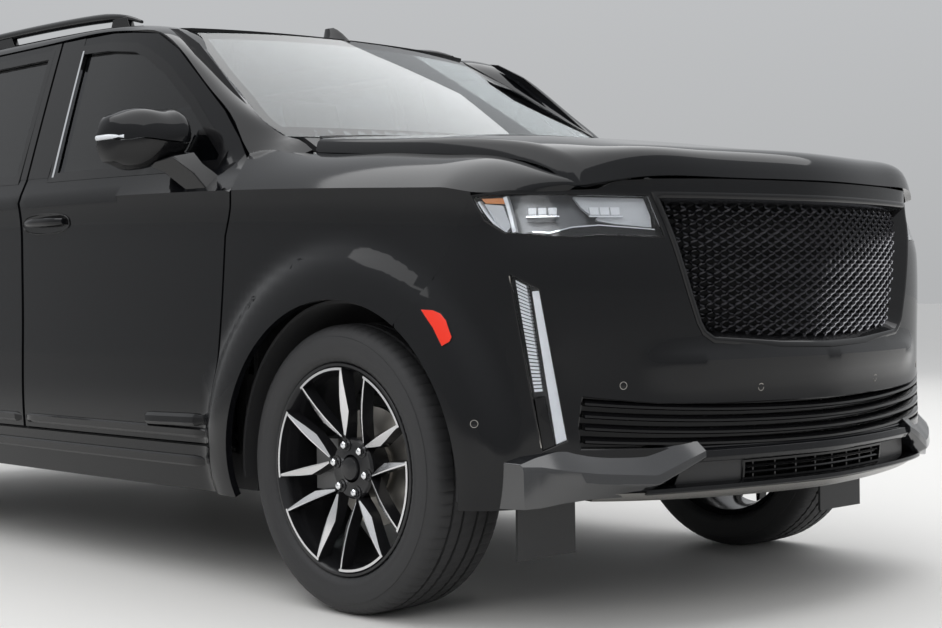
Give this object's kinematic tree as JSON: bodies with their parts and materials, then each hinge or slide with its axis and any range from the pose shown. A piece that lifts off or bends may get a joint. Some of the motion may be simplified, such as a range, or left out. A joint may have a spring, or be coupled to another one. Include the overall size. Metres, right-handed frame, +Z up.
{
  "type": "sport utility vehicle",
  "caption": "Full-size body-on-frame sport utility vehicle with swinging doors, hood and liftgate, steered front wheels and a furnished cabin.",
  "frame": {"origin": "on the ground under the middle of the overall length, on the centre plane", "axes": "+X forward, +Y to the car's left, +Z up"},
  "size_m": [5.3816, 2.36, 1.948],
  "materials": {
    "body_paint": "gloss black clear coat",
    "black_trim": "gloss black moulded plastic",
    "dark_chrome": "dark bright plating",
    "lamp_clear": "clear lens over bright reflectors",
    "lamp_red": "red lens",
    "tinted_glass": "dark privacy glass",
    "clear_glass": "laminated windshield",
    "tyre_rubber": "black rubber with sidewall sheen",
    "wheel_metal": "machined faces with dark pockets",
    "chassis_steel": "satin black frame paint",
    "cast_metal": "cast and machined metal",
    "raw_steel": "exhaust steel",
    "tank_plastic": "blow-moulded plastic",
    "seal_rubber": "matt rubber",
    "grey_plastic": "grained plastic",
    "floor_carpet": "carpet over sheet steel",
    "seat_leather": "dark stitched leather"
  },
  "bodies": {
    "root": {"fenders": "body_paint", "tail_lamps": "lamp_red", "body_sides": "body_paint", "roof_panel": "body_paint", "quarter_glass": "tinted_glass", "windshield": "clear_glass", "cowl_panel": "black_trim", "front_bumper": "body_paint", "headlamps": "lamp_clear", "running_lamps": "lamp_clear", "grille": "dark_chrome", "rear_bumper": "body_paint", "roof_rails": "black_trim", "roof_fin": "body_paint", "seals": "seal_rubber", "radiator_support": "chassis_steel", "frame_rails": "chassis_steel", "crossmembers": "chassis_steel", "tow_hitch": "chassis_steel", "engine_block": "cast_metal", "driveline": "cast_metal", "exhaust": "raw_steel", "fuel_tank": "tank_plastic", "suspension": "cast_metal", "arch_liners": "grey_plastic", "floor_pan": "floor_carpet", "dashboard": "grey_plastic", "steering_wheel": "seat_leather", "seats": "seat_leather", "nose_tray": "grey_plastic"},
    "hood": {"hood": "body_paint"},
    "liftgate": {"liftgate": "body_paint", "liftgate_glass": "tinted_glass"},
    "knuckle_front_right": {"knuckle_front_right": "cast_metal"},
    "knuckle_front_left": {"knuckle_front_left": "cast_metal"},
    "door_front_right": {"door_front_right": "body_paint", "glass_front_right": "tinted_glass", "mirror_right": "body_paint"},
    "door_rear_right": {"door_rear_right": "body_paint", "glass_rear_right": "tinted_glass"},
    "door_front_left": {"door_front_left": "body_paint", "glass_front_left": "tinted_glass", "mirror_left": "body_paint"},
    "door_rear_left": {"door_rear_left": "body_paint", "glass_rear_left": "tinted_glass"},
    "wheel_front_right": {"tyre_front_right": "tyre_rubber", "rim_front_right": "wheel_metal"},
    "wheel_front_left": {"tyre_front_left": "tyre_rubber", "rim_front_left": "wheel_metal"},
    "wheel_rear_right": {"tyre_rear_right": "tyre_rubber", "rim_rear_right": "wheel_metal"},
    "wheel_rear_left": {"tyre_rear_left": "tyre_rubber", "rim_rear_left": "wheel_metal"}
  },
  "joints": [
    {"name": "door_front_right_hinge", "type": "hinge", "parent": "root", "child": "door_front_right", "pos_m": [1.226, -1.019, 0.9], "axis": [0, 0, 1], "range_deg": [0, 65]},
    {"name": "door_rear_right_hinge", "type": "hinge", "parent": "root", "child": "door_rear_right", "pos_m": [-0.055, -1.019, 0.9], "axis": [0, 0, 1], "range_deg": [0, 70]},
    {"name": "door_front_left_hinge", "type": "hinge", "parent": "root", "child": "door_front_left", "pos_m": [1.226, 1.019, 0.9], "axis": [0, 0, -1], "range_deg": [0, 65]},
    {"name": "door_rear_left_hinge", "type": "hinge", "parent": "root", "child": "door_rear_left", "pos_m": [-0.055, 1.019, 0.9], "axis": [0, 0, -1], "range_deg": [0, 70]},
    {"name": "hood_hinge", "type": "hinge", "parent": "root", "child": "hood", "pos_m": [1.371, 0, 1.412], "axis": [0, -1, 0], "range_deg": [0, 50]},
    {"name": "liftgate_hinge", "type": "hinge", "parent": "root", "child": "liftgate", "pos_m": [-2.445, 0, 1.87], "axis": [0, 1, 0], "range_deg": [0, 85]},
    {"name": "steer_right", "type": "hinge", "parent": "root", "child": "knuckle_front_right", "pos_m": [1.716, -0.8, 0.414], "axis": [0, 0, 1], "range_deg": [-35, 35]},
    {"name": "steer_left", "type": "hinge", "parent": "root", "child": "knuckle_front_left", "pos_m": [1.716, 0.8, 0.414], "axis": [0, 0, 1], "range_deg": [-35, 35]},
    {"name": "roll_front_right", "type": "hinge", "parent": "knuckle_front_right", "child": "wheel_front_right", "pos_m": [1.716, -0.863, 0.414], "axis": [0, 1, 0], "continuous": true},
    {"name": "roll_front_left", "type": "hinge", "parent": "knuckle_front_left", "child": "wheel_front_left", "pos_m": [1.716, 0.863, 0.414], "axis": [0, 1, 0], "continuous": true},
    {"name": "roll_rear_right", "type": "hinge", "parent": "root", "child": "wheel_rear_right", "pos_m": [-1.355, -0.863, 0.414], "axis": [0, 1, 0], "continuous": true},
    {"name": "roll_rear_left", "type": "hinge", "parent": "root", "child": "wheel_rear_left", "pos_m": [-1.355, 0.863, 0.414], "axis": [0, 1, 0], "continuous": true}
  ],
  "couplings": [
    {"joint": "steer_right", "follows": "steer_left", "ratio": 1}
  ]
}
